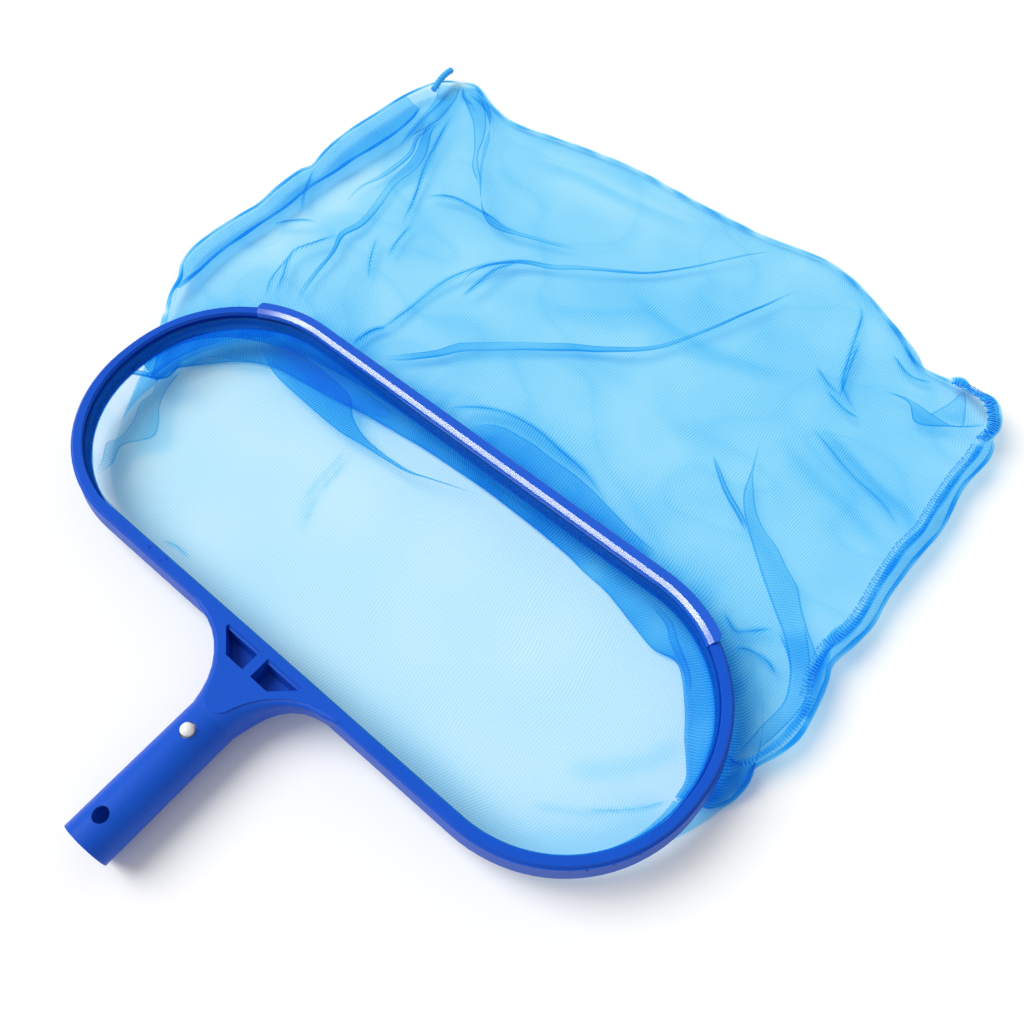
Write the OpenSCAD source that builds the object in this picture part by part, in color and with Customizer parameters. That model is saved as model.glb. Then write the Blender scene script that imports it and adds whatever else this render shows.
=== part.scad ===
// Leaf skimmer net: a moulded hoop and pole handle, a snap-on scoop lip,
// a deep mesh bag held by a spline, and a nylon spring clip in the handle.
// X runs along the hoop, +Y from the handle's open end to the hoop, +Z out of the mouth.
// The origin is the centre of the handle's open end.

/* [Hoop] */
// Length of the hoop over its top face, along X
hoop_len = 438; // [360:1:520]
// Width of the hoop over its top face, along Y
hoop_w = 175; // [172:0.5:230]
// Radius of the hoop's corners
corner_r = 85; // [50:0.5:86]
// Depth of the hoop's section
hoop_depth = 15.4; // [13.5:0.1:20]
// How far the outer wall leans out from top to bottom
wall_flare = 2.9; // [1.5:0.1:4]
// Wall thickness of the moulding
wall = 2; // [1.6:0.1:2.6]
// Width of the top flange
flange_w = 5.4; // [4.8:0.1:8]

/* [Handle] */
// Outside diameter of the handle, which slides into a pole
tube_d = 28.6; // [26:0.1:34]
// Wall thickness of the handle
tube_wall = 2; // [1.6:0.1:2.4]
// Depth of the handle's bore
bore_depth = 88; // [84:1:92]
// Distance from the open end to the hoop's top outer edge
handle_len = 123; // [118:0.1:150]
// Radius of the sweep from the handle into the hoop
yoke_r = 37.5; // [32:0.5:46]
// Distance of the spare lock holes from the open end
spare_hole_y = 15.5; // [12:0.5:18]
// Distance of the clip's lock holes from the open end
lock_hole_y = 70.8; // [66:0.1:74]
// Diameter of the lock holes
lock_hole_d = 8.8; // [8.6:0.1:10]

/* [Spring clip] */
// Diameter of the clip's buttons
button_d = 7.2; // [6:0.1:7.4]
// How far a button stands out of the handle
button_out = 3.6; // [3:0.1:4.2]
// Width of the clip's strip
clip_w = 8; // [6:0.1:8.6]
// Thickness of the clip's strip
clip_t = 2.2; // [1.6:0.1:2.6]

/* [Scoop lip] */
// How far the lip stands out past the hoop's top edge
lip_out = 2.7; // [2.6:0.1:4]
// How far the lip stands above the hoop's top face
lip_up = 2.1; // [1.6:0.1:3]
// Angle of each corner that the lip wraps round
lip_wrap = 32; // [10:1:60]
// Rounding of the lip's outer corners at its two ends
lip_end_r = 5; // [2:0.5:8]

/* [Bag] */
// Reach of the bag to the left of the handle's axis
bag_left = 266; // [240:1:300]
// Reach of the bag to the right of the handle's axis
bag_right = 230; // [226:1:300]
// Distance from the hoop's centre line to the bag's closed end
bag_reach = 363; // [250:1:420]
// Thickness of the mesh as it lies
mesh_t = 1; // [0.8:0.1:1.4]
// Width of the overlocked side seams
seam_w = 6; // [4:0.5:9]
// Diameter of the spline that holds the bag in the hoop
spline_d = 5; // [4:0.1:5.2]

/* [Hidden] */

blue = [0.10, 0.31, 0.76];
deep_blue = [0.09, 0.29, 0.72];
net_blue = [0.45, 0.80, 0.98];
seam_blue = [0.10, 0.48, 0.86];
white = [0.96, 0.96, 0.95];

seat_gap = 0.3;
fit_gap = 0.1;

// Hoop
tube_r = tube_d / 2;
bore_r = tube_r - tube_wall;
z_top = tube_r;
z_bot = z_top - hoop_depth;
z_floor = -tube_r - button_out;
hoop_half = hoop_w / 2;
hoop_y = handle_len + hoop_half;
rail_half = hoop_len / 2 - corner_r;
end_half = hoop_half - corner_r;

// Section of the hoop: s is the distance out from its top outer edge
edge_round = 0.8;
bead_out = 1.2;
bead_z = z_top - 1.6;
bead_h = 2.2;
wall_out_top = 0.7;
foot_in = 1;
lower_flange_in = flange_w + foot_in;
lip_down = 1.1;
rib_t = 1.6;
rib_in = 3.2;
groove_h = spline_d + 2 * seat_gap;
groove_z = z_bot + wall;
rib_z = groove_z + groove_h;
function wall_out(z) = wall_out_top + (wall_flare - wall_out_top) * (bead_z - bead_h - z) / (bead_z - bead_h - z_bot);
function wall_in(z) = wall_out(z) - wall;

// Small holes that drain the channel at the right end, and moulding pips on the near rail
drain_d = 2;
drain_z = z_bot + 10.3;
drain_angles = [-43, -34, -25, -8, -4];
pip_d = 1.6;
pip_h = 0.4;
rail_pips = [[-97, 3], [-86, 1.5], [-84, 4]];

// Yoke
yoke_steps = 8;
yoke_sweep = 84;
yoke_sides = 40;
yoke_end = 1.2;
yoke_tuck = 0.06;
yoke_y0 = handle_len - wall_flare - yoke_r;
ramp_start = bore_depth + 2;
ramp_end = handle_len - 3;
blend_y = handle_len - 1.4;
blend_half = tube_r + yoke_r + 2.5;
blend_end = blend_half + 9;
plate_t = 1.2;
plate_r = 50;
plate_x = tube_r + 40.4;
plate_y = handle_len - plate_r;
tip_y = handle_len - 38;
tip_up = tip_y - plate_y;
nose_r = (plate_x * plate_x + tip_up * tip_up - plate_r * plate_r) / (2 * (plate_r - tip_up));
nose_y = tip_y + nose_r;
flank_y = nose_y - nose_r * (nose_y - plate_y) / (plate_r + nose_r);
pocket_floor = z_bot + wall;
pocket_y = handle_len - 12.3;
pocket_back = handle_len + 1;
pocket_rib = 3;
pocket_w_low = 12.8;
pocket_w_high = 24.8;
pocket_chamfer = 1.4;

// Spring clip
clip_z = sqrt(bore_r * bore_r - clip_w * clip_w / 4) - seat_gap - clip_t / 2;
clip_root_y = 36;
clip_tip = 10;
knuckle_r = clip_t / 2;
button_top = tube_r + button_out;
dome_h = 2.2;
dome_lap = 0.4;
dome_ball = (button_d * button_d / 4 + dome_h * dome_h) / (2 * dome_h);

// Bag
mesh_gap = seat_gap;
hem_t = 1.4;
hem_z0 = groove_z + 0.5;
hem_h = 8.2;
spline_s = wall_in(groove_z + groove_h / 2) - seat_gap - spline_d / 2;
hem_in = round(10 * (spline_d / 2 - spline_s + seat_gap)) / 10;
collar_in = hem_in + hem_t + mesh_gap;
roof_z = z_bot - 1.5 - mesh_t;

function smooth(t) = let (u = min(1, max(0, t))) u * u * (3 - 2 * u);
function sgn_pow(v, p) = sign(v) * pow(abs(v), p);

// ---------- sweeps round the hoop ----------

// A section drawn in (s, z) and carried all the way round the hoop
module round_hoop() {
    translate([0, hoop_y, 0])
        for (x = [0, 1], y = [0, 1])
            mirror([x, 0, 0])
                mirror([0, y, 0])
                    corner(90)
                        children();
    for (turn = [0, 180])
        translate([0, hoop_y, 0])
            rotate([0, 0, turn]) {
                rail(hoop_half, rail_half)
                    children();
                rotate([0, 0, 90])
                    rail(hoop_len / 2, end_half)
                        children();
            }
}

// The same section along a straight rail at distance out, half a length to each side
module rail(out, half) {
    translate([half, out, 0])
        rotate([90, 0, -90])
            linear_extrude(height = 2 * half)
                mirror([1, 0])
                    children();
}

// The same section round a corner, sweeping away from the end of the long rail
module corner(sweep) {
    translate([rail_half, end_half, 0])
        rotate([0, 0, 90])
            mirror([0, 1, 0])
                rotate_extrude(angle = sweep, $fn = 96)
                    translate([corner_r, 0])
                        children();
}

// Flat outline of the hoop, set in from its top outer edge
module hoop_outline(inset) {
    for (x = [-1, 1], y = [-1, 1])
        translate([x * rail_half, hoop_y + y * end_half])
            circle(r = corner_r - inset, $fn = 96);
    translate([-rail_half, hoop_y - hoop_half + inset])
        square([2 * rail_half, 2 * (hoop_half - inset)]);
    translate([-hoop_len / 2 + inset, hoop_y - end_half])
        square([hoop_len - 2 * inset, 2 * end_half]);
}

module hoop_band(inner, outer, z0, z1) {
    translate([0, 0, z0])
        linear_extrude(height = z1 - z0)
            difference() {
                hoop_outline(outer);
                hoop_outline(inner);
            }
}

// ---------- hoop and handle ----------

module hoop_section() {
    polygon([
        [-flange_w, z_top], [-edge_round, z_top], [0, z_top - edge_round], [0, bead_z],
        [bead_out, bead_z - 0.6], [bead_out, bead_z - bead_h + 0.6],
        [wall_out_top, bead_z - bead_h],
        [wall_out(z_bot + edge_round), z_bot + edge_round], [wall_flare - edge_round, z_bot],
        [-lower_flange_in, z_bot], [-lower_flange_in, groove_z],
        [-lower_flange_in, z_top - wall - lip_down], [-flange_w, z_top - wall - lip_down]]);
}

// The groove for the spline below the rib, and the hollow above it
module channel_section() {
    polygon([
        [-lower_flange_in - 1, groove_z], [wall_in(groove_z), groove_z], [wall_in(rib_z), rib_z],
        [-rib_in, rib_z], [-rib_in, rib_z + rib_t], [wall_in(rib_z + rib_t), rib_z + rib_t],
        [-wall, z_top - wall], [-flange_w + 1.2, z_top - wall],
        [-flange_w + 1.2, z_top - wall - lip_down], [-lower_flange_in - 1, z_top - wall - lip_down]]);
}

// One cross-section of the yoke at sweep angle a: round like the handle at 0,
// wide and flat like the hoop at the end
function yoke_half(a) = tube_r + yoke_r * (1 - cos(a));
function yoke_y(a) = yoke_y0 + yoke_r * sin(a);
function yoke_under(y) = -tube_r + (z_bot + tube_r) * smooth((y - ramp_start) / (ramp_end - ramp_start));
function yoke_ring(a, y, extra = 0) = let (
        low = yoke_under(y),
        mid = (z_top + low) / 2,
        tuck = a == 0 ? yoke_tuck : 0,
        high = (z_top - low) / 2 - tuck,
        p = 2 / (2 + 5 * a / yoke_sweep))
    [for (k = [0 : yoke_sides - 1])
        let (b = 360 * k / yoke_sides)
        [(yoke_half(a) + extra - tuck) * sgn_pow(cos(b), p), y, mid + high * sgn_pow(sin(b), p)]];

module yoke() {
    angles = [for (i = [0 : yoke_steps]) yoke_sweep * i / yoke_steps];
    rings = concat([for (a = angles) yoke_ring(a, yoke_y(a))],
                   [yoke_ring(yoke_sweep, blend_y, blend_half - yoke_half(yoke_sweep)),
                    yoke_ring(yoke_sweep, handle_len + yoke_end, blend_end - yoke_half(yoke_sweep))]);
    n = yoke_sides;
    last = len(rings) - 1;
    polyhedron(
        points = [for (r = rings) each r],
        faces = concat(
            [[for (k = [n - 1 : -1 : 0]) k]],
            [[for (k = [0 : n - 1]) last * n + k]],
            [for (i = [0 : last - 1], k = [0 : n - 1]) each [
                [i * n + k, i * n + (k + 1) % n, (i + 1) * n + k],
                [i * n + (k + 1) % n, (i + 1) * n + (k + 1) % n, (i + 1) * n + k]]]),
        convexity = 6);
}

// Flat tongue on top of the yoke, with a round nose
module tongue() {
    translate([0, 0, z_top - plate_t])
        linear_extrude(height = plate_t) {
            difference() {
                translate([-plate_x, flank_y])
                    square([2 * plate_x, handle_len + yoke_end - flank_y]);
                for (side = [-1, 1])
                    translate([side * plate_x, plate_y])
                        circle(r = plate_r, $fn = 96);
            }
            translate([0, nose_y])
                circle(r = nose_r, $fn = 48);
        }
}

module pocket() {
    translate([0, 0, pocket_floor])
        linear_extrude(height = z_top - pocket_floor + 1)
            polygon([
                [pocket_rib, pocket_y], [pocket_rib + pocket_w_low, pocket_y],
                [pocket_rib + pocket_w_high, handle_len - pocket_chamfer],
                [pocket_rib + pocket_w_high, pocket_back], [pocket_rib, pocket_back]]);
}

module lock_hole(y) {
    translate([0, y, -tube_r - 1])
        cylinder(d = lock_hole_d, h = 2 * tube_r + 2, $fn = 48);
}

// Rounded rectangular rim with an inward channel, drained at one end by small holes
module hoop() {
    color(blue)
        difference() {
            union() {
                round_hoop()
                    hoop_section();
                for (p = rail_pips)
                    translate([p[0], handle_len + p[1], z_top - 0.2])
                        cylinder(d = pip_d, h = pip_h + 0.2, $fn = 24);
            }
            round_hoop()
                channel_section();
            for (a = drain_angles)
                translate([rail_half, hoop_y - end_half, drain_z])
                    rotate([0, 90, a])
                        translate([0, 0, corner_r - wall - 1])
                            cylinder(d = drain_d, h = wall + wall_flare + 2, $fn = 24);
        }
}

// Tube for the pole, widening through the yoke to meet the hoop's near wall
module handle() {
    color(blue)
        difference() {
            union() {
                rotate([-90, 0, 0])
                    cylinder(r = tube_r, h = yoke_y(0), $fn = 96);
                yoke();
                tongue();
            }
            round_hoop()
                hoop_section();
            translate([0, -1, 0])
                rotate([-90, 0, 0])
                    cylinder(r = bore_r, h = bore_depth + 1, $fn = 96);
            lock_hole(spare_hole_y);
            lock_hole(lock_hole_y);
            for (side = [0, 1])
                mirror([side, 0, 0])
                    pocket();
        }
}

// ---------- scoop lip ----------

module lip_section() {
    top = z_top + lip_up;
    under = z_top + fit_gap;
    leg_in = bead_out + fit_gap;
    hook_z = bead_z - bead_h - fit_gap;
    polygon([
        [-flange_w - 1.2, z_top - 2.6], [-flange_w - fit_gap, z_top - 2.6], [-flange_w - fit_gap, under],
        [leg_in, under], [leg_in, hook_z], [wall_out_top + 0.3, hook_z], [wall_out_top + 0.3, hook_z - 0.8],
        [lip_out - 0.5, hook_z - 0.8], [lip_out, hook_z - 0.3], [lip_out, top - 0.7], [lip_out - 0.7, top],
        [-flange_w + 2.3, top], [-flange_w - 0.4, z_top + 0.5], [-flange_w - 1.2, z_top - 0.4]]);
}

// What is cut off an outer corner where the lip ends, about the hoop's corner centre
module lip_end() {
    end_r = corner_r + lip_out;
    translate([rail_half, end_half, 0])
        rotate([0, 0, 90 - lip_wrap])
            linear_extrude(height = tube_d)
                difference() {
                    translate([end_r - lip_end_r, -1])
                        square([lip_end_r + 1, lip_end_r + 1]);
                    translate([end_r - lip_end_r, lip_end_r])
                        circle(r = lip_end_r, $fn = 48);
                }
}

module scoop_lip() {
    color(deep_blue)
        translate([0, hoop_y, 0])
            difference() {
                union() {
                    rail(hoop_half, rail_half)
                        lip_section();
                    for (side = [0, 1])
                        mirror([side, 0, 0])
                            corner(lip_wrap)
                                lip_section();
                }
                for (side = [0, 1])
                    mirror([side, 0, 0])
                        lip_end();
            }
}

// ---------- bag ----------

module net_spline() {
    color(seam_blue)
        round_hoop()
            translate([spline_s, groove_z + groove_h / 2])
                circle(d = spline_d, $fn = 24);
}

module mouth_hem() {
    color(seam_blue)
        hoop_band(hem_in + hem_t, hem_in, hem_z0, hem_z0 + hem_h);
}

// Edges of the bag as it lies: down the left side, along the closed end, up the right side
side_start = hoop_len / 2 - collar_in;
far_y = hoop_y + bag_reach;
left_edge = [
    [-side_start, hoop_y], [-hoop_len / 2 - 22, hoop_y + 42], [-bag_left + 4, hoop_y + 80],
    [-bag_left, hoop_y + 120], [-bag_left, far_y - 70], [-bag_left + 8, far_y - 12]];
far_edge = [
    [-bag_left + 60, far_y - 16], [-80, far_y + 1], [20, far_y + 4], [75, far_y + 12],
    [bag_right - 84, far_y - 12], [bag_right - 40, far_y - 24]];
right_edge = [
    [bag_right - 16, far_y - 28], [bag_right - 3, far_y - 50], [bag_right, far_y - 80],
    [bag_right, hoop_y + 60], [bag_right - 2, hoop_y + 30], [bag_right - 8, hoop_y + 12],
    [side_start, hoop_y]];

// A flat strip along an edge, between two distances from it
module strip(edge, near, far) {
    polygon(concat(
        [for (p = edge) p + near],
        [for (i = [len(edge) - 1 : -1 : 0]) edge[i] + far]));
}

module beyond_hoop() {
    polygon(concat(left_edge, far_edge, right_edge));
}

module half_plane(y0, y1) {
    translate([-bag_left - 50, y0])
        square([bag_left + bag_right + 100, y1 - y0]);
}

// Band of mesh round half of the mouth, from height z0 up into the hoop
module mouth_wall(y0, y1, z0) {
    translate([0, 0, z0])
        linear_extrude(height = hem_z0 + hem_h - 0.6 - z0)
            intersection() {
                difference() {
                    hoop_outline(collar_in);
                    hoop_outline(collar_in + mesh_t);
                }
                half_plane(y0, y1);
            }
}

// Far half of the bag: from the far rail over the lower half and down at the closed end
module bag_upper_panel() {
    half_y = hoop_y + mesh_gap;
    color(net_blue) {
        mouth_wall(half_y, far_y, roof_z);
        translate([0, 0, roof_z])
            linear_extrude(height = mesh_t)
                intersection() {
                    difference() {
                        beyond_hoop();
                        hoop_outline(collar_in + mesh_t);
                    }
                    half_plane(half_y, far_y + 50);
                }
        translate([0, 0, z_floor + mesh_t + mesh_gap])
            linear_extrude(height = roof_z - z_floor - mesh_gap)
                strip(concat([left_edge[5]], far_edge, [right_edge[0]]), [0, 0], [0, -mesh_t]);
    }
}

// Near half of the bag: down from the near rail, then flat under the mouth and the upper half
module bag_lower_panel() {
    color(net_blue) {
        mouth_wall(0, hoop_y, z_floor);
        translate([0, 0, z_floor]) {
            linear_extrude(height = mesh_t)
                beyond_hoop();
            linear_extrude(height = mesh_t)
                hoop_outline(collar_in);
        }
    }
}

// Overlocked seams, which close the bag's sides between the two panels
module side_seam(edge, dir) {
    translate([0, 0, z_floor + mesh_gap])
        linear_extrude(height = roof_z + mesh_t - z_floor - mesh_gap)
            strip(edge, [dir * mesh_gap, 0], [dir * (mesh_gap + seam_w), 0]);
}

module side_seam_left() {
    color(seam_blue)
        side_seam(left_edge, -1);
}

module side_seam_right() {
    color(seam_blue)
        side_seam(right_edge, 1);
}

// ---------- spring clip ----------

module clip_bow() {
    color(white)
        difference() {
            translate([-clip_w / 2, clip_root_y, 0])
                rotate([0, 90, 0])
                    cylinder(r = clip_z + clip_t / 2, h = clip_w, $fn = 72);
            translate([-clip_w / 2 - 1, clip_root_y, 0])
                rotate([0, 90, 0])
                    cylinder(r = clip_z - clip_t / 2, h = clip_w + 2, $fn = 72);
            translate([-clip_w / 2 - 1, clip_root_y, -tube_r])
                cube([clip_w + 2, tube_r * 2, 2 * tube_r]);
            for (side = [-1, 1])
                translate([-clip_w / 2 - 1, clip_root_y, side * clip_z])
                    rotate([0, 90, 0])
                        cylinder(r = knuckle_r + 0.05, h = clip_w + 2, $fn = 48);
        }
}

// One leg with its button; it turns about its root, where it joins the bow
module clip_leg() {
    translate([-clip_w / 2, clip_root_y, clip_z])
        rotate([0, 90, 0])
            cylinder(r = knuckle_r, h = clip_w, $fn = 48);
    translate([-clip_w / 2, clip_root_y, clip_z - clip_t / 2])
        cube([clip_w, lock_hole_y - clip_root_y + clip_tip, clip_t]);
    translate([0, lock_hole_y, clip_z])
        cylinder(d = button_d, h = button_top - dome_h - clip_z, $fn = 48);
    translate([0, lock_hole_y, button_top])
        intersection() {
            translate([0, 0, -dome_h - dome_lap])
                cylinder(d = button_d, h = dome_h + dome_lap, $fn = 48);
            translate([0, 0, -dome_ball])
                sphere(r = dome_ball, $fn = 64);
        }
}

module clip_leg_upper() {
    color(white)
        clip_leg();
}

module clip_leg_lower() {
    color(white)
        mirror([0, 0, 1])
            clip_leg();
}

hoop();
handle();
scoop_lip();
net_spline();
mouth_hem();
bag_upper_panel();
bag_lower_panel();
side_seam_left();
side_seam_right();
clip_bow();
clip_leg_upper();
clip_leg_lower();
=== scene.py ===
import math

import bpy
import numpy as np
from mathutils import Matrix, Vector, noise


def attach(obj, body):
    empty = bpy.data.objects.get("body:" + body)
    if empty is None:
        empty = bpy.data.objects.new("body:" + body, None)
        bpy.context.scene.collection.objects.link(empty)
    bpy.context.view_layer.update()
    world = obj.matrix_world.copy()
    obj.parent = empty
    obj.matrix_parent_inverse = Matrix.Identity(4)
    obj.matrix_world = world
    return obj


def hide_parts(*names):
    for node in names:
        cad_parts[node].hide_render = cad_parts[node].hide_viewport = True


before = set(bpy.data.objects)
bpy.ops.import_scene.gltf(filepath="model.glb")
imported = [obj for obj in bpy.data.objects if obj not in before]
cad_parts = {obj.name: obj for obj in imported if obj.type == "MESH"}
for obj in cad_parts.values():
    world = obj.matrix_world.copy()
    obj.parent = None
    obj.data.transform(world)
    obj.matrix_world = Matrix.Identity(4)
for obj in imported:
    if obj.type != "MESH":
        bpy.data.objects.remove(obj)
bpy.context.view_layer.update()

# A leaf skimmer net. The hoop, lip, cord, handle and clip are the finished CAD nodes, which only get
# their plastics here. The mesh bag with its hem, seams and stitches is made here, draped as it lies.

# ---------------------------------------------------------------- sizes, in millimetres
MM = 0.001
BODY = "net_frame"

HOOP_HALF_LEN = 219.0
HOOP_HALF_W = 87.5
HOOP_Y = 210.5
CORNER_R = 85.0
RAIL_HALF = HOOP_HALF_LEN - CORNER_R
END_HALF = HOOP_HALF_W - CORNER_R
FLOOR_Z = -17.9

# The bag hangs from the groove on the hoop's inner face, passes under the rail and lies on the floor
GROOVE_INSET = 6.6
HEM_TOP = 8.6
RAIL_REACH = 3.0
UNDER_RAIL_Z = -15.5
NEAR_FOOT = 11.0
LOWER_Z = -17.3
UPPER_Z = -14.8
# The far half is pillowed between its edges, with small waves on top
PILLOW = 3.2
PILLOW_EDGE = 30
SMALL_WAVES = 1.2
# The side seams stand up off the floor. They come down to it towards the closed end, measured from
# there, and towards the mouth, measured in y: where each ramp starts, and its length
LEFT_RISE = 5.0
RIGHT_RISE = 12.0
FAR_RISE_REACH = 10
NEAR_RISE_REACH = 8
END_RAMP = (-6, 26)
MOUTH_RAMP = (215, 40)

# Far half between the groove and its tuck: share of the way to the tuck, and height
TUCK_DROP = [(0.0, HEM_TOP), (0.02, 4.0), (0.10, -1.0), (0.35, -6.0), (0.75, -11.0), (0.97, -14.0)]
# Far half going back under the rail: share of the way to the tuck, and height
TUCK_RETURN = [(0.97, -16.0), (0.6, -16.4), (0.3, -16.2)]
# Near half between the groove and the floor: distance inside the hoop's edge, and height
NEAR_DROP = [(GROOVE_INSET, HEM_TOP), (GROOVE_INSET + 0.6, 3.0), (8.5, -5.0), (9.5, -12.0), (10.2, -16.4)]
# Hem tape: distance inside the hoop's edge, height, and its share of the sag at the left end
HEM_DROP = [(5.9, 9.4, 0), (6.9, 9.3, 0), (7.2, 6.0, 0.2), (7.2, 2.0, 0.6), (6.8, -1.5, 1.0)]
HEM_LAYERS = 5.5
# Where the hem sags, as a share of the way round, how far that reaches, and the sag itself
HEM_SAG_AT = 0.10
HEM_SAG_REACH = 0.05
HEM_SAG_IN = 8.0
HEM_SAG_DOWN = 3.5

# Layers of mesh in the far half: everywhere, in broad and fine patches, and in a net of wrinkles
FAR_LAYERS = 1.08
BROAD_PATCHES = 0.24
FINE_PATCHES = 0.12
WRINKLES = 0.5
# Layers added where it is gathered, and behind the rail also painted shade of the rail: how many, and how
# far that reaches from the line
RAIL_GATHER_AND_SHADE = (5.0, 12)
RAIL_FULLNESS_AND_SHADE = (0.8, 26)
END_GATHER = (0.4, 8)
THINNEST = 0.12
# How strongly a crease counts in the far half, how far it lifts the cloth for each layer it adds, and
# up to how many layers. A crease narrower than NARROW also gets a crest
CREASE_LAYERS = 1.8
CREASE_LIFT = 0.5
CREASE_LIMIT = 2.5
NARROW = 3
NEAR_NARROW = 1.5
CREST_LAYERS = 2.8
# A fold or a crest fades out to this at its ends. How far a fold lies above the cloth, how wide its
# dense edges are, and how high a crest stands
FEWEST_LAYERS = 0.02
FOLD_ABOVE = 0.5
FOLD_EDGE = 1.0
CREST_TOP = 1.2

# Points along and across each half of the bag
FAR_GRID = (290, 205)
NEAR_GRID = (240, 190)
TUCK_ROWS = 60
WALL_ROWS = 16
HEM_POINTS = 300
HEM_ROWS = 12
STRIP_ROWS = 6

# Cloth between neighbouring columns of points. A fold narrower than WIDE_FOLD is left without ribs
SPACING = 1.8
NEAR_SPACING = 2.2
STRIP_SPACING = 2.0
FOLD_SPACING = 2.5
SMOOTH_SPACING = 0.04
WIDE_FOLD = 7.0
# Spacing of the mesh's ribs and of its cross threads
RIB_PITCH = 1.7
CROSS_PITCH = 1.2

# Edges of the bag as it lies on the floor, walked from the hoop outwards
LEFT_SEAM = [
    (-213, 211), (-228, 232), (-242, 252), (-252, 264), (-259, 278), (-268, 288), (-273, 302),
    (-274, 322), (-272, 344), (-270, 361), (-272, 382), (-272, 404), (-269, 414), (-273, 432),
    (-275, 454), (-273, 484), (-270, 516), (-263, 540), (-253, 559)]
RIGHT_SEAM = [
    (213, 211), (220, 216), (226, 219), (231, 228), (232, 239), (230, 246), (236, 261), (239, 277),
    (237, 297), (234, 311), (231, 321), (234, 340), (236, 357), (234, 379), (234, 403), (235, 419),
    (236, 437), (232, 467), (234, 497), (231, 511), (226, 527), (216, 541), (202, 547)]
CLOSED_END = [
    (-253, 559), (-240, 565), (-226, 560), (-210, 554), (-186, 552), (-151, 560), (-118, 567),
    (-84, 572), (-29, 573), (21, 576), (51, 582), (73, 585), (105, 578), (139, 562), (148, 557),
    (162, 546), (181, 545), (202, 547)]

# Line on the floor where the far half turns back under itself inside the mouth
FAR_TUCK = [
    (-208, 212), (-206, 226), (-200, 234), (-192, 244), (-182, 255), (-168, 265), (-150, 271),
    (-127, 274), (-101, 278), (-75, 282), (-50, 285), (-25, 287), (0, 288), (30, 288), (55, 287),
    (75, 286), (90, 284), (108, 282), (130, 276), (150, 271), (164, 273), (173, 267), (184, 254),
    (194, 240), (203, 229), (207, 222), (208, 212)]

# Seam line along each side and round the right corner, where the two halves are overlocked
LEFT_STITCH = [
    (-252, 272), (-256, 296), (-258, 316), (-257, 339), (-255, 360), (-254, 374), (-255, 391),
    (-254, 411), (-252, 432), (-249, 457), (-247, 481), (-248, 500), (-253, 514)]
RIGHT_STITCH = [
    (232, 297), (227, 311), (225, 327), (228, 341), (229, 357), (227, 379), (226, 397), (226, 411),
    (228, 427), (227, 444), (226, 472), (227, 491), (226, 507)]
CORNER_STITCH = [
    (226, 506), (227, 518), (221, 530), (212, 538), (203, 543), (194, 546), (188, 543)]
LOWER_STITCH = [(232, 297), (234, 286), (233, 268), (228, 251), (222, 242)]
# Crests of the seam cloth beside the hoop: a fold on the right, and where each side reaches the mouth
SEAM_FOLD = [(229, 356), (224, 333), (226, 321), (228, 309), (234, 297), (236, 284)]
NEAR_LEFT = [(-219, 221), (-226, 231), (-234, 242), (-242, 252)]
NEAR_END = [(213, 214), (219, 221), (225, 230), (228, 240), (226, 248)]
# Crests along the seams, with their width and their layers
SEAM_CRESTS = [
    (LEFT_STITCH, 3.4, 9.5), (RIGHT_STITCH, 4.4, 7.0), (CORNER_STITCH, 6.5, 11.0),
    (LOWER_STITCH, 4.0, 5.0), (SEAM_FOLD, 7.0, 5.0), (NEAR_END, 9.0, 5.0)]
# Seam allowances: the stitch line, the raw edge and the layers between them
ALLOWANCES = [
    (LEFT_STITCH, [(-256, 268)] + LEFT_SEAM[4:17], 2.4), (RIGHT_STITCH, RIGHT_SEAM[8:20], 1.5)]
RAW_EDGES = [LEFT_SEAM[2:], RIGHT_SEAM[2:20]]
# Heights of these over the far half, and how wide and how often the corner's allowance is ruffled
CREST_ABOVE = 1.6
ALLOWANCE_ABOVE = 0.8
EDGE_ABOVE = 0.2
CORNER_ABOVE = 1.8
CORNER_WIDTH = 4.0
CORNER_RUFFLES = 11

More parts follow.
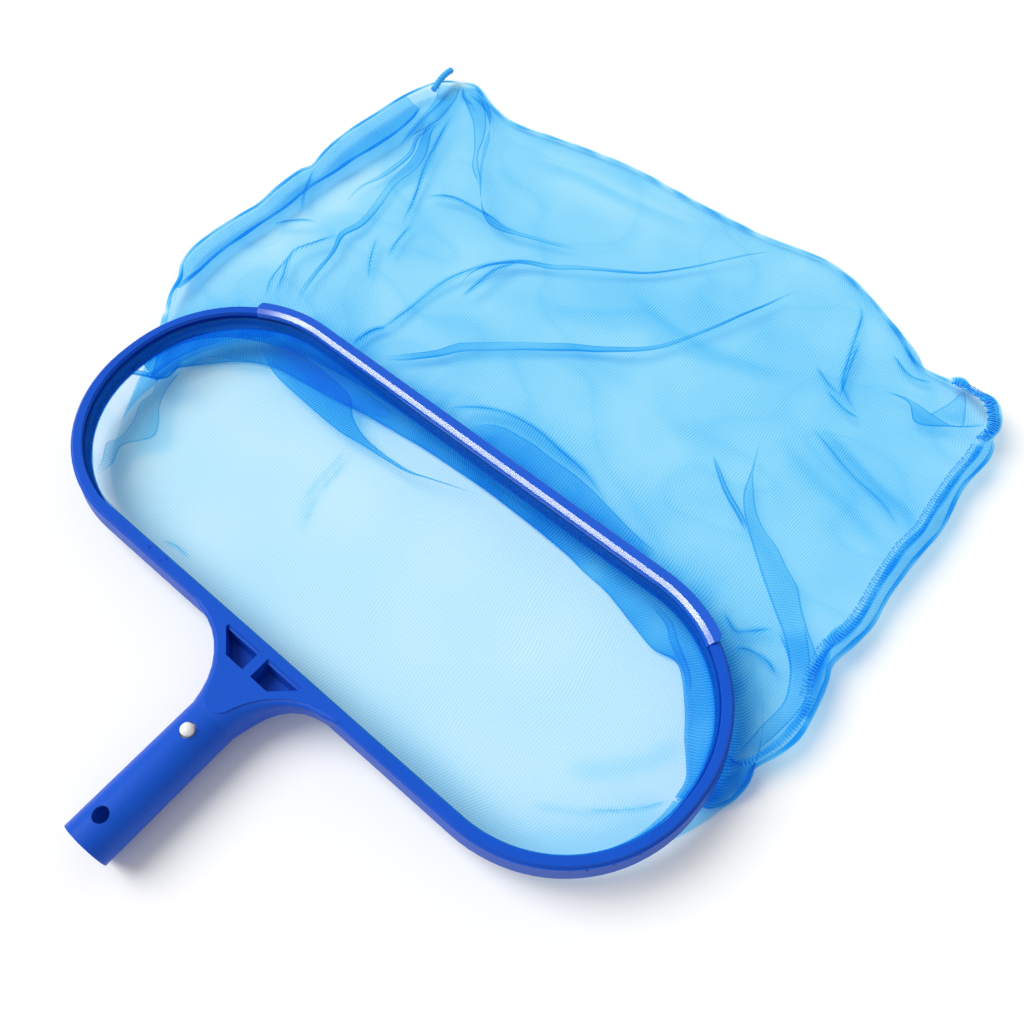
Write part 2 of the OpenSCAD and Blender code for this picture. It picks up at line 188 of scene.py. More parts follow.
# Folds in the far half: the left edge, the right edge and the layers between them
FOLDS = [
    ([(-30, 306), (-5, 304), (20, 303), (50, 303), (80, 304), (105, 309), (119, 317)],
     [(-27, 313), (-14, 326), (9, 330), (29, 330), (58, 329), (76, 325), (97, 321), (119, 318)], 2.6),
    ([(117, 431), (127, 404), (132, 388), (138, 378), (148, 367), (161, 355), (174, 344), (188, 333),
      (201, 323), (213, 310), (221, 298)],
     [(117, 431), (129, 403), (137, 391), (146, 380), (157, 372), (169, 367), (181, 359), (192, 353),
      (201, 343), (210, 334), (225, 318), (232, 303)], 1.4),
    ([(102, 398), (111, 389), (123, 379), (139, 370), (148, 364)],
     [(102, 399), (113, 391), (125, 382), (141, 373), (149, 366)], 1.5),
    ([(-110, 317), (-97, 331), (-84, 346), (-76, 361), (-62, 374), (-46, 388), (-20, 408), (20, 436),
      (47, 486), (60, 517), (72, 546)],
     [(-109, 315), (-93, 328), (-79, 343), (-69, 357), (-56, 369), (-41, 383), (-15, 404), (23, 434),
      (49, 485), (62, 517), (73, 546)], 2.6),
    ([(-249, 556), (-234, 557), (-216, 553), (-197, 532), (-181, 504), (-160, 478), (-141, 462),
      (-123, 458), (-94, 469), (-66, 480)],
     [(-247, 553), (-232, 552), (-213, 546), (-190, 524), (-176, 500), (-157, 476), (-139, 458),
      (-121, 454), (-94, 465), (-64, 477)], 2.2),
    ([(-108, 393), (-110, 415), (-97, 438), (-68, 458), (-33, 482), (-12, 500), (23, 546), (40, 571)],
     [(-107, 393), (-109, 414), (-95, 436), (-65, 455), (-31, 480), (-11, 498), (24, 545), (40, 570)], 2.2),
    ([(-262, 546), (-252, 530), (-244, 505), (-240, 480)],
     [(-248, 557), (-238, 536), (-231, 508), (-236, 482)], 1.6),
    ([(-236, 516), (-233, 500), (-223, 479), (-219, 464), (-218, 445), (-212, 423), (-206, 398),
      (-207, 381), (-199, 364), (-195, 343), (-190, 326), (-182, 312)],
     [(-229, 516), (-226, 499), (-213, 478), (-209, 462), (-211, 443), (-205, 421), (-200, 397),
      (-202, 380), (-196, 364), (-192, 343), (-187, 327), (-180, 313)], 2.0),
    ([(-232, 509), (-232, 487), (-226, 472), (-227, 446), (-230, 423), (-227, 405)],
     [(-229, 509), (-229, 487), (-222, 471), (-223, 446), (-228, 423), (-226, 405)], 1.2),
    ([(-247, 555), (-229, 541), (-210, 527), (-191, 507), (-178, 490), (-160, 478)],
     [(-242, 562), (-223, 554), (-206, 538), (-192, 520), (-182, 501), (-158, 479)], 0.9),
    ([(159, 509), (175, 512), (193, 511), (206, 510), (221, 520)],
     [(159, 508), (176, 509), (187, 499), (205, 508), (222, 518)], 1.6),
    ([(190, 508), (196, 524), (198, 537)], [(212, 512), (206, 526), (199, 538)], 1.3),
    ([(197, 323), (211, 312), (219, 300), (223, 287), (221, 270), (220, 253), (219, 247)],
     [(207, 336), (215, 326), (222, 315), (230, 301), (232, 289), (230, 271), (226, 253)], 1.8),
]
# Creases and thicker or thinner places in the far half: a line, its width and the layers it adds
CREASES = [
    ([(-230, 527), (-218, 498), (-206, 469), (-190, 438), (-179, 413)], 1.2, 2.4),
    ([(-205, 381), (-213, 361), (-218, 344), (-206, 324), (-198, 308)], 1.3, 1.8),
    ([(-218, 344), (-211, 319), (-201, 304)], 1.2, 1.5),
    ([(-186, 397), (-173, 376), (-161, 362)], 1.1, 1.4),
    ([(-175, 422), (-171, 402), (-165, 386)], 1.3, 1.6),
    ([(-187, 446), (-167, 458), (-141, 460), (-119, 459), (-110, 464)], 1.5, 2.4),
    ([(-91, 442), (-99, 424), (-99, 409), (-101, 390)], 2.2, 1.6),
    ([(-122, 341), (-128, 332), (-130, 314)], 2.0, 2.6),
    ([(107, 565), (116, 554), (126, 523), (135, 497), (142, 490), (155, 482)], 1.3, 2.0),
    ([(129, 486), (135, 483), (149, 479), (159, 480)], 1.3, 1.6),
    ([(136, 455), (154, 448), (173, 441), (200, 435), (219, 423)], 1.5, 1.1),
    ([(147, 541), (164, 532), (174, 533), (180, 537)], 1.4, 1.5),
    ([(-267, 414), (-256, 393), (-241, 376)], 1.2, 1.8),
    ([(-250, 355), (-235, 371), (-227, 376)], 1.2, 1.8),
    ([(-132, 323), (-124, 341), (-121, 390), (-110, 418), (-93, 440), (-67, 457)], 2.4, 1.3),
    ([(167, 314), (179, 308), (186, 313), (195, 322)], 1.6, 1.6),
    ([(-252, 550), (-246, 530), (-240, 500), (-236, 470)], 1.4, 1.8),
    ([(-246, 556), (-236, 546), (-224, 545)], 1.5, 2.4),
    ([(213, 246), (222, 244), (228, 248), (232, 243), (231, 231)], 2.0, 2.2),
    ([(-48, 311), (-33, 328), (-19, 336), (-5, 339), (11, 340), (29, 338), (54, 334), (76, 326)], 2.0, 1.6),
    ([(-34, 314), (-8, 333), (25, 335), (56, 331)], 4.5, 0.8),
    ([(184, 298), (191, 303), (203, 304), (212, 300)], 1.5, 1.8),
    ([(-160, 520), (-120, 536), (-60, 541), (0, 549)], 3.5, 0.6),
    ([(-20, 470), (30, 462), (80, 470), (110, 486)], 4.0, 0.5),
    ([(135, 459), (157, 453), (178, 447), (199, 441), (215, 437), (228, 417)], 4.0, 0.9),
    ([(114, 498), (129, 490), (141, 487)], 1.4, 1.2),
    ([(126, 536), (131, 516), (138, 492), (141, 482)], 1.2, 1.6),
    ([(120, 440), (150, 425), (190, 418), (226, 400)], 5.0, 0.4),
    ([(40, 525), (100, 505), (160, 465), (212, 380)], 38.0, 0.22),
    ([(-70, 435), (-30, 462), (15, 482), (70, 490)], 22.0, 0.30),
    ([(-180, 535), (-120, 543), (-60, 546), (10, 560)], 20.0, -0.25),
    ([(-160, 345), (-135, 375), (-120, 410), (-110, 430)], 20.0, -0.20),
    ([(-60, 420), (-20, 440), (10, 470)], 5.0, 0.4),
]
# Where the two halves part and only one layer is left over the floor
THIN = ([(-246, 292), (-241, 316), (-238, 346), (-236, 379), (-232, 410), (-236, 449), (-240, 480)],
        13.0, -0.85)
# Folds inside the mouth: both edges, the layers between them, their height and the layers at the edges
MOUTH_FOLDS = [
    ([(-204, 234), (-203, 213), (-196, 202), (-196, 192), (-189, 181), (-185, 167), (-188, 159),
      (-180, 149), (-176, 140)],
     [(-196, 229), (-191, 210), (-184, 198), (-175, 190), (-169, 181), (-174, 172), (-179, 163),
      (-173, 152), (-173, 142)], 1.6, -8, 3.2),
    ([(-180, 276), (-169, 271), (-149, 263), (-124, 260), (-86, 258), (-65, 260), (-34, 263), (-17, 269),
      (15, 281)],
     [(-172, 284), (-157, 285), (-127, 285), (-99, 282), (-84, 271), (-65, 265), (-35, 265), (-17, 270),
      (15, 281)], 4.6, -8, 6.5),
    ([(-165, 278), (-140, 275), (-115, 272), (-92, 275), (-61, 284)],
     [(-165, 288), (-140, 289), (-115, 290), (-92, 290), (-61, 289)], 2.4, -5, 3.5),
    ([(-208, 241), (-205, 252), (-189, 273), (-172, 274)],
     [(-197, 228), (-190, 245), (-175, 255), (-157, 265)], 1.6, -9, 3.0),
    ([(135, 291), (150, 288), (159, 281), (168, 275), (176, 269), (183, 260)],
     [(134, 288), (148, 284), (156, 277), (165, 272), (174, 266), (181, 257)], 1.6, -8, 3.0),
]
# Where the hem has slipped inwards out of the channel at the left end, in the same form, and the crest
# of the hem that runs on from there
HEM_FOLDS = [
    ([(-210, 222), (-216, 238), (-210, 261), (-181, 282), (-157, 286)],
     [(-210, 221), (-206, 237), (-199, 250), (-181, 269), (-167, 280)], 5.0, 4, 7.0),
    ([(-197, 231), (-195, 214), (-210, 205), (-221, 198), (-218, 190)],
     [(-193, 229), (-191, 212), (-207, 202), (-216, 196), (-211, 186)], 3.0, 1, 6.0),
]
HEM_LINE = [(-218, 190), (-213, 182), (-206, 171), (-192, 153), (-174, 140)]
# Creases in the near half, where it lies on the floor: a line, its width and the layers it adds
FLOOR_CREASES = [
    ([(-74, 258), (-72, 241), (-70, 221), (-64, 208), (-54, 190)], 5.0, 0.30),
    ([(-78, 257), (-75, 240), (-73, 221), (-68, 208)], 0.9, 0.30),
    ([(-72, 255), (-69, 238), (-66, 219), (-60, 205), (-52, 190)], 0.9, 0.35),
    ([(-115, 138), (-104, 141), (-92, 140)], 1.0, 1.0),
    ([(174, 176), (186, 185), (198, 197), (207, 210)], 1.2, 0.7),
    ([(150, 160), (170, 171), (188, 184)], 2.0, 0.4),
    ([(150, 185), (169, 198), (186, 219), (195, 244)], 6.0, 0.4),
]

# Stitches, as shares of their own width: the thread's radius and how flat the loops lie
THREAD_SHARE = 0.045
LOOP_FLATNESS = 0.42
LOOP_SIDES = 12
THREAD_SIDES = 5
# How far each loop may turn at random, in radians, and its height over the far half
LOOSE_TURN = (0.12, 0.25, 0.12)
STITCH_SEED = 5
STITCH_ABOVE = 2.6

# Loose thread at the far left corner
TAIL_PATH = [(-259, 536, -10), (-261, 546, -8), (-262, 555, -7.5), (-262, 561, -8)]
TAIL_RINGS = 30
TAIL_SIDES = 8
TAIL_RADIUS = 2.3
TAIL_SWELL = 0.4
TAIL_TWIST = 0.35


# ---------------------------------------------------------------- curves and grids
def smooth_path(points, count):
    """Evenly spaced points along a Catmull-Rom curve through the given ones."""
    p = np.array(points, float)
    p = np.vstack([2 * p[0] - p[1], p, 2 * p[-1] - p[-2]])
    out = []
    for a, b, c, d in zip(p[:-3], p[1:-2], p[2:-1], p[3:]):
        t = np.linspace(0, 1, 24, endpoint=False)[:, None]
        out.append(0.5 * (2 * b + (c - a) * t + (2 * a - 5 * b + 4 * c - d) * t**2
                          + (3 * b - a - 3 * c + d) * t**3))
    out = np.vstack(out + [p[-2][None]])
    along = np.concatenate([[0], np.cumsum(np.linalg.norm(np.diff(out, axis=0), axis=1))])
    at = np.linspace(0, along[-1], count)
    return np.stack([np.interp(at, along, out[:, k]) for k in range(out.shape[1])], axis=1)


def half_rim(count, side):
    """Points and outward directions along half of the hoop's top outer edge; side 1 is the far half."""
    arc = CORNER_R * math.pi / 2
    total = 2 * END_HALF + 2 * arc + 2 * RAIL_HALF
    pts, outs = [], []
    for s in np.linspace(0, total, count):
        left = s < total / 2
        q = s if left else total - s
        if q < END_HALF:
            x, y, nx, ny = HOOP_HALF_LEN, q, 1.0, 0.0
        elif q < END_HALF + arc:
            a = (q - END_HALF) / CORNER_R
            nx, ny = math.cos(a), math.sin(a)
            x, y = RAIL_HALF + CORNER_R * nx, END_HALF + CORNER_R * ny
        else:
            x, y, nx, ny = RAIL_HALF - (q - END_HALF - arc), HOOP_HALF_W, 0.0, 1.0
        flip = -1 if left else 1
        pts.append((flip * x, HOOP_Y + side * y))
        outs.append((flip * nx, side * ny))
    return np.array(pts), np.array(outs)


def patch(near, far, left, right):
    """A grid of points that fills the space between four edges."""
    u = np.linspace(0, 1, len(near))[None, :, None]
    v = np.linspace(0, 1, len(left))[:, None, None]
    corners = ((1 - u) * (1 - v) * near[0] + u * (1 - v) * near[-1]
               + (1 - u) * v * far[0] + u * v * far[-1])
    return (1 - v) * near[None] + v * far[None] + (1 - u) * left[:, None] + u * right[:, None] - corners


def from_line(xy, points):
    """Distance of each point to a line, and its place along the line from 0 to 1."""
    p = smooth_path(points, 4 * len(points))
    step = np.linalg.norm(np.diff(p, axis=0), axis=1)
    start = np.concatenate([[0], np.cumsum(step)])
    best = np.full(xy.shape[:-1], 1e9)
    along = np.zeros(xy.shape[:-1])
    for k in range(len(step)):
        d = (p[k + 1] - p[k]) / step[k]
        rel = xy - p[k]
        t = np.clip(rel @ d, 0, step[k])
        dist = np.linalg.norm(rel - t[..., None] * d, axis=-1)
        near = dist < best
        best = np.where(near, dist, best)
        along = np.where(near, (start[k] + t) / start[-1], along)
    return best, along


def ripple(xy, size, seed, stretch=(1.0, 1.0)):
    """Smooth noise from -1 to 1 with features of that size in millimetres."""
    flat = xy.reshape(-1, 2) / (size * np.array(stretch))
    values = [noise.noise(Vector((x + seed * 7.3, y - seed * 3.1, seed * 1.7))) for x, y in flat]
    return np.clip(1.6 * np.array(values).reshape(xy.shape[:-1]), -1, 1)


def ease(t):
    """From 0 to 1 with a soft start and a soft stop."""
    t = np.clip(t, 0, 1)
    return t * t * (3 - 2 * t)


def ramp(value, start, length):
    """0 up to the start, then rising softly to 1 over that length."""
    return ease((value - start) / length)


def offset_line(points, by):
    """The line moved sideways, to its right when by is positive."""
    p = smooth_path(points, 8 * len(points))
    d = np.gradient(p, axis=0)
    d /= np.linalg.norm(d, axis=1)[:, None]
    return p + by * np.column_stack([d[:, 1], -d[:, 0]])


def line_length(points):
    """Length of the straight lines through the points."""
    return np.linalg.norm(np.diff(np.array(points, float), axis=0), axis=1).sum()


def new_object(name, data):
    """An object at the origin, linked to the scene."""
    thing = bpy.data.objects.new(name, data)
    bpy.context.scene.collection.objects.link(thing)
    return thing


# ---------------------------------------------------------------- cloth
class Cloth:
    """One piece of cloth, put together from grids of points in millimetres.

    Each point says how many layers of mesh lie there, and each grid has its own cloth coordinates."""

    def __init__(self):
        self.points, self.layers, self.uvs, self.faces = [], [], [], []
        self.count = 0

    def add(self, grid, layers, pitch=SPACING, shift=(0.0, 0.0)):
        """Takes in a grid, with pitch millimetres of cloth between its columns."""
        rows, cols = grid.shape[:2]
        index = self.count + np.arange(rows * cols).reshape(rows, cols)
        quads = np.stack([index[:-1, :-1], index[:-1, 1:], index[1:, 1:], index[1:, :-1]], axis=-1)
        self.faces.append(quads.reshape(-1, 4))
        self.points.append(grid.reshape(-1, 3))
        self.layers.append(np.broadcast_to(layers, (rows, cols)).ravel())
        down = np.linalg.norm(np.diff(grid, axis=0), axis=2)
        v = np.vstack([np.zeros((1, cols)), np.cumsum(down, axis=0)]) + shift[1]
        u = np.broadcast_to(np.arange(cols)[None] * pitch + shift[0], (rows, cols))
        self.uvs.append(np.stack([u, v], axis=-1).reshape(-1, 2))
        self.count += rows * cols

    def piece(self, name, material, slot):
        """The finished piece, riding on the frame."""
        mesh = bpy.data.meshes.new(name)
        mesh.from_pydata((np.vstack(self.points) * MM).tolist(), [], np.vstack(self.faces).tolist())
        loops = np.empty(len(mesh.loops), dtype=np.int32)
        mesh.loops.foreach_get("vertex_index", loops)
        layer = mesh.uv_layers.new(name="cloth")
        layer.data.foreach_set("uv", (np.vstack(self.uvs) * MM)[loops].ravel().astype(np.float32))
        held = mesh.attributes.new("layers", "FLOAT", "POINT")
        held.data.foreach_set("value", np.concatenate(self.layers).astype(np.float32))
        mesh.polygons.foreach_set("use_smooth", [True] * len(mesh.polygons))
        mesh.materials.append(material)
        mesh.update()
        piece = new_object(name, mesh)
        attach(piece, BODY)
        return piece


def cloth_per_area(grid):
    """How much cloth lies over each bit of floor: 1 where flat, more where it stands on edge."""
    du = np.gradient(grid, axis=1)
    dv = np.gradient(grid, axis=0)
    area = np.linalg.norm(np.cross(du, dv), axis=2)
    plan = np.abs(du[..., 0] * dv[..., 1] - du[..., 1] * dv[..., 0])
    return np.clip(area / np.maximum(plan, 0.05), 1, 5)


def band(cloth, left, right, layers, z, edge_layers, rise=0.8):
    """A fold that lies on the cloth: a strip between two lines, dense at both of its edges."""
    count = max(12, int(line_length(left) / FOLD_SPACING))
    a, b = smooth_path(left, count), smooth_path(right, count)
    wide = np.maximum(np.linalg.norm(b - a, axis=1), 0.3)
    end = ease(np.minimum(np.linspace(0, 1, count), np.linspace(1, 0, count)) * 8)
    thin = np.minimum(FOLD_EDGE / wide, 0.35)
    # Share of the way across, whether the cloth is dense there, and its share of the rise
    section = ((0 * thin, 1, 0), (thin, 1, 0.7), (thin + 0.02, 0, 0.9), (0.5 + 0 * thin, 0, 1),
               (0.98 - thin, 0, 0.9), (1 - thin, 1, 0.7), (1 + 0 * thin, 1, 0))
    rows, weights = [], []
    for share, dense, up in section:
        xy = a * (1 - share[:, None]) + b * share[:, None]
        height = z(xy) if callable(z) else np.full(count, float(z))
        rows.append(np.column_stack([xy, height + FOLD_ABOVE + rise * up * end]))
        weights.append((edge_layers if dense else layers) * end + FEWEST_LAYERS)
    pitch = FOLD_SPACING if wide.mean() > WIDE_FOLD else SMOOTH_SPACING
    cloth.add(np.array(rows), np.array(weights), pitch=pitch, shift=(11.0, 7.0))


def ridge(cloth, points, wide, layers, z, taper=4):
    """The crest of a crease, where the cloth is seen edge on: a thin strip, here wider and there
    fainter, that fades out at both ends."""
    line = offset_line(points, 0)
    half = wide * (0.5 + 0.14 * ripple(line, 15, 21))[:, None]
    side = (offset_line(points, 1.0) - line) * half
    place = np.linspace(0, 1, len(line))
    fade = ease(np.minimum(place, 1 - place) * taper) * (0.85 + 0.25 * ripple(line, 17, 22))
    rows = []
    for share in (-1, -0.55, 0.55, 1):
        xy = line + share * side
        rows.append(np.column_stack([xy, z(xy) + CREST_TOP - 0.5 * abs(share)]))
    weights = np.array([0.1, 1, 1, 0.1])[:, None] * (layers * fade)[None] + FEWEST_LAYERS
    cloth.add(np.array(rows), weights, pitch=0.1)


# ---------------------------------------------------------------- materials
def new_material(name):
    """A material with its nodes, its links and its shader."""
    material = bpy.data.materials.new(name)
    material.use_nodes = True
    nodes = material.node_tree.nodes
    return material, nodes, material.node_tree.links, nodes["Principled BSDF"]


def blend(nodes, links, factor, first, second):
    """The blend of two colours by a factor that varies over the surface."""
    tone = nodes.new("ShaderNodeMix")
    tone.data_type = "RGBA"
    tone.inputs["A"].default_value = (*first, 1)
    tone.inputs["B"].default_value = (*second, 1)
    links.new(factor, tone.inputs["Factor"])
    return tone.outputs["Result"]


def noise_texture(nodes, links, scale, detail):
    """Noise over the piece itself, in its own coordinates."""
    place = nodes.new("ShaderNodeTexCoord")
    texture = nodes.new("ShaderNodeTexNoise")
    texture.inputs["Scale"].default_value = scale
    texture.inputs["Detail"].default_value = detail
    links.new(place.outputs["Object"], texture.inputs["Vector"])
    return texture.outputs["Fac"]


def moulded_plastic(name, colour, roughness, specular, grain=0.15):
    """Injection-moulded plastic: faint mottling in the colour, a fine skin and soft gloss changes."""
    material, nodes, links, shader = new_material(name)
    mottle = noise_texture(nodes, links, 28.0, 3.0)
    darker = [c * 0.90 for c in colour]
    lighter = [min(1, c * 1.10) for c in colour]
    links.new(blend(nodes, links, mottle, darker, lighter), shader.inputs["Base Color"])
    bump = nodes.new("ShaderNodeBump")
    bump.inputs["Strength"].default_value = grain
    bump.inputs["Distance"].default_value = 0.2 * MM
    links.new(noise_texture(nodes, links, 900.0, 2.0), bump.inputs["Height"])
    links.new(bump.outputs["Normal"], shader.inputs["Normal"])
    gloss = nodes.new("ShaderNodeMapRange")
    gloss.inputs["To Min"].default_value = roughness * 0.85
    gloss.inputs["To Max"].default_value = roughness * 1.2
    links.new(mottle, gloss.inputs["Value"])
    links.new(gloss.outputs["Result"], shader.inputs["Roughness"])
    shader.inputs["Specular IOR Level"].default_value = specular
    return material


def maths(nodes, links, operation, a, b=None, clamp=False):
    """One step of arithmetic on numbers or on other nodes' results."""
    node = nodes.new("ShaderNodeMath")
    node.operation = operation
    node.use_clamp = clamp
    for socket, value in zip(node.inputs, (a, b)):
        if value is None:
            continue
        if isinstance(value, (int, float)):
            socket.default_value = value
        else:
            links.new(value, socket)
    return node.outputs["Value"]


def sheer_mesh(name, cover_one, pale, deep, rib):
    """Fine ribbed net. One layer lets the light through in the colour NET_PASSES and hides the
    share cover_one of what is behind it; more layers multiply both."""
    material, nodes, links, shader = new_material(name)
    held = nodes.new("ShaderNodeAttribute")
    held.attribute_name = "layers"
    cloth = nodes.new("ShaderNodeUVMap")
    cloth.uv_map = "cloth"
    threads = []
    for pitch, direction in ((RIB_PITCH, "X"), (CROSS_PITCH, "Y")):
        wave = nodes.new("ShaderNodeTexWave")
        wave.bands_direction = direction
        wave.inputs["Scale"].default_value = 2 * math.pi / (20 * pitch * MM)
        wave.inputs["Distortion"].default_value = 9.0
        wave.inputs["Detail"].default_value = 2.0
        wave.inputs["Detail Scale"].default_value = 0.14
        links.new(cloth.outputs["UV"], wave.inputs["Vector"])
        threads.append(wave.outputs["Fac"])
    lines = maths(nodes, links, "MULTIPLY_ADD", threads[1], 0.35)
    links.new(threads[0], lines.node.inputs[2])
    dense = nodes.new("ShaderNodeMapRange")
    dense.inputs["From Max"].default_value = 1.35
    dense.inputs["To Min"].default_value = 1 - rib
    dense.inputs["To Max"].default_value = 1 + rib
    links.new(lines, dense.inputs["Value"])
    layers = maths(nodes, links, "MULTIPLY", held.outputs["Fac"], dense.outputs["Result"])
    tint = nodes.new("ShaderNodeCombineColor")
    for channel, share in zip(("Red", "Green", "Blue"), NET_PASSES):
        links.new(maths(nodes, links, "POWER", share, layers), tint.inputs[channel])
    open_share = maths(nodes, links, "POWER", 1 - cover_one, layers)
    cover = maths(nodes, links, "SUBTRACT", 1.0, open_share, clamp=True)
    amount = maths(nodes, links, "MULTIPLY", layers, 0.14, clamp=True)
    links.new(blend(nodes, links, amount, pale, deep), shader.inputs["Base Color"])
    shader.inputs["Roughness"].default_value = 0.5
    shader.inputs["Specular IOR Level"].default_value = 0.12
    see_through = nodes.new("ShaderNodeBsdfTransparent")
    links.new(tint.outputs["Color"], see_through.inputs["Color"])
    mix = nodes.new("ShaderNodeMixShader")
    links.new(cover, mix.inputs["Fac"])
    links.new(see_through.outputs["BSDF"], mix.inputs[1])
    links.new(shader.outputs["BSDF"], mix.inputs[2])
    links.new(mix.outputs["Shader"], nodes["Material Output"].inputs["Surface"])
    return material


def twisted_thread(name, dark, light):
    """Spun thread, lighter and darker along its twist."""
    material, nodes, links, shader = new_material(name)
    twist = noise_texture(nodes, links, 700.0, 2.0)
    links.new(blend(nodes, links, twist, dark, light), shader.inputs["Base Color"])
    shader.inputs["Roughness"].default_value = 0.6
    return material


NET_PASSES = (0.730, 0.918, 0.989)

frame_blue = moulded_plastic("frame_blue", (0.003, 0.080, 0.55), 0.38, 0.20)
lip_blue = moulded_plastic("lip_blue", (0.004, 0.095, 0.62), 0.15, 0.5, 0.0)
spline_blue = moulded_plastic("spline_blue", (0.01, 0.10, 0.50), 0.5, 0.3)
clip_white = moulded_plastic("clip_white", (0.88, 0.88, 0.87), 0.35, 0.4)
net_cloth = sheer_mesh("net_cloth", 0.022, (0.24, 0.58, 1.0), (0.012, 0.42, 1.0), 0.6)
hem_cloth = sheer_mesh("hem_cloth", 0.055, (0.05, 0.42, 1.0), (0.003, 0.22, 0.90), 0.4)
seam_cloth = sheer_mesh("seam_cloth", 0.045, (0.10, 0.55, 1.0), (0.006, 0.32, 0.95), 0.5)
seam_thread = twisted_thread("seam_thread", (0.02, 0.36, 0.88), (0.06, 0.54, 1.0))

for node, material in (("hoop", frame_blue), ("handle", frame_blue), ("scoop_lip", lip_blue),
                       ("net_spline", spline_blue), ("clip_bow", clip_white),
                       ("clip_leg_upper", clip_white), ("clip_leg_lower", clip_white)):
    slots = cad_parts[node].data.materials
    if not slots:
        slots.append(material)
    for k in range(len(slots)):
        slots[k] = material


# ---------------------------------------------------------------- the bag
def near_line(distance, reach):
    """1 on the line, fading away over that reach."""
    return np.exp(-(distance / reach) ** 2)


def side_rise(xy, reach):
    """How far the side seams stand up off the floor, fading inwards, and how near the edge is."""
    to_left, _ = from_line(xy, LEFT_SEAM)
    to_right, _ = from_line(xy, RIGHT_SEAM)
    to_end, _ = from_line(xy, CLOSED_END)
    clear = ramp(to_end, *END_RAMP) * ramp(xy[..., 1], *MOUTH_RAMP)
    left = LEFT_RISE * near_line(to_left, reach)
    right = RIGHT_RISE * (1 + 0.2 * ripple(xy, 60, 14)) * near_line(to_right, 1.8 * reach)
    return (left + right) * clear, np.minimum(np.minimum(to_left, to_right), to_end)


def lift(xy):
    """Height of the far half over the floor plan: pillowed, and raised along the side seams."""
    rise, edge = side_rise(xy, FAR_RISE_REACH)
    pillow = PILLOW * (1 + 0.6 * ripple(xy, 70, 1)) + SMALL_WAVES * ripple(xy, 26, 2)
    return UPPER_Z + pillow * ramp(edge, 0, PILLOW_EDGE) + rise


def lay(xy):
    """Height of the near half: on the floor, raised where the side seams stand up."""
    return LOWER_Z + 0.25 * (1 + ripple(xy, 50, 5)) + side_rise(xy, NEAR_RISE_REACH)[0]


def crease_layers(xy, creases):
    """The layers that the creases add at each point."""
    extra = np.zeros(xy.shape[:-1])
    for points, width, amount in creases:
        d, along = from_line(xy, points)
        extra += amount * ease(np.minimum(along, 1 - along) * 4) * near_line(d, width)
    return extra


def upper_sheet():
    """The far half: from the groove down to its tuck, back under the rail and out to the closed end."""
    cloth = Cloth()
    cols, rows = FAR_GRID
    rim, out = half_rim(cols, 1)
    back = rim + out * RAIL_REACH
    tuck = smooth_path(FAR_TUCK, cols)
    plan = patch(back, smooth_path(CLOSED_END, cols), smooth_path(LEFT_SEAM, rows),
                 smooth_path(RIGHT_SEAM, rows))
    creased = crease_layers(plan, CREASES) * CREASE_LAYERS
    z = lift(plan) + CREASE_LIFT * np.minimum(creased, CREASE_LIMIT)
    # Flat under the rail, and up to its own height within a fourteenth of the way to the closed end
    near_rail = np.linspace(0, 1, rows)[:, None]
    z += (UNDER_RAIL_Z - z) * (1 - ease(near_rail * 14))
    outside = np.dstack([plan, z])

    layers = FAR_LAYERS + BROAD_PATCHES * ripple(plan, 44, 3) + FINE_PATCHES * ripple(plan, 16, 8)
    # Layers behind the rail: partly gathered cloth, partly painted shade that the rail casts on the cloth
    # behind it
    from_rail, _ = from_line(plan, back[::12])
    bunch = ripple(plan, 9, 9, (1.0, 5.0))
    count, reach = RAIL_GATHER_AND_SHADE
    layers += creased + count * near_line(from_rail, reach) * (0.8 + 0.4 * bunch)
    count, reach = RAIL_FULLNESS_AND_SHADE
    layers += count * near_line(from_rail, reach) * (1 + bunch)
    to_end, _ = from_line(plan, CLOSED_END)
    count, reach = END_GATHER
    layers += count * near_line(to_end, reach) + crease_layers(plan, [THIN])
    layers += WRINKLES * (1 - np.abs(ripple(plan, 36, 31, (1.7, 1.0)))) ** 10
    layers = np.maximum(layers, THINNEST)

    # Down from the groove to the tuck, and back under the rail
    drop = []
    for start, profile in ((rim - out * GROOVE_INSET, TUCK_DROP), (back, TUCK_RETURN)):
        for share, height in profile:
            drop.append(np.column_stack([start * (1 - share) + tuck * share, np.full(cols, height)]))
    drop = np.array(drop + [outside[0]])
    inside = np.stack([smooth_path(drop[:, k], TUCK_ROWS) for k in range(cols)], axis=1)
    wave = ripple(inside[..., :2], 22, 4)
    inside[..., 2] += 0.9 * wave * np.sin(np.linspace(0, math.pi, TUCK_ROWS))[:, None]
    inside_layers = cloth_per_area(inside) * (1.5 + 0.5 * wave)
    top = np.linspace(1, 0, TUCK_ROWS)[:, None]
    inside_layers += 2.0 * ease((top - 0.72) * 4)
    grid = np.vstack([inside[:-1], outside])
    cloth.add(grid, np.vstack([inside_layers[:-1], layers]))

    for left, right, count in FOLDS:
        band(cloth, left, right, count, lift, CREST_LAYERS + count)
    for points, width, amount in CREASES:
        if width < NARROW:
            ridge(cloth, points, 0.4 + 0.45 * width, CREST_LAYERS * amount, lift)
    ridge(cloth, offset_line(CLOSED_END, 0.8)[::4], 4.0, 4.5, raised(-0.6), taper=60)
    for left, right, count, height, edge in MOUTH_FOLDS:
        band(cloth, left, right, count, height, edge)
    return cloth.piece("bag_far_half", net_cloth, "mesh_cloth")


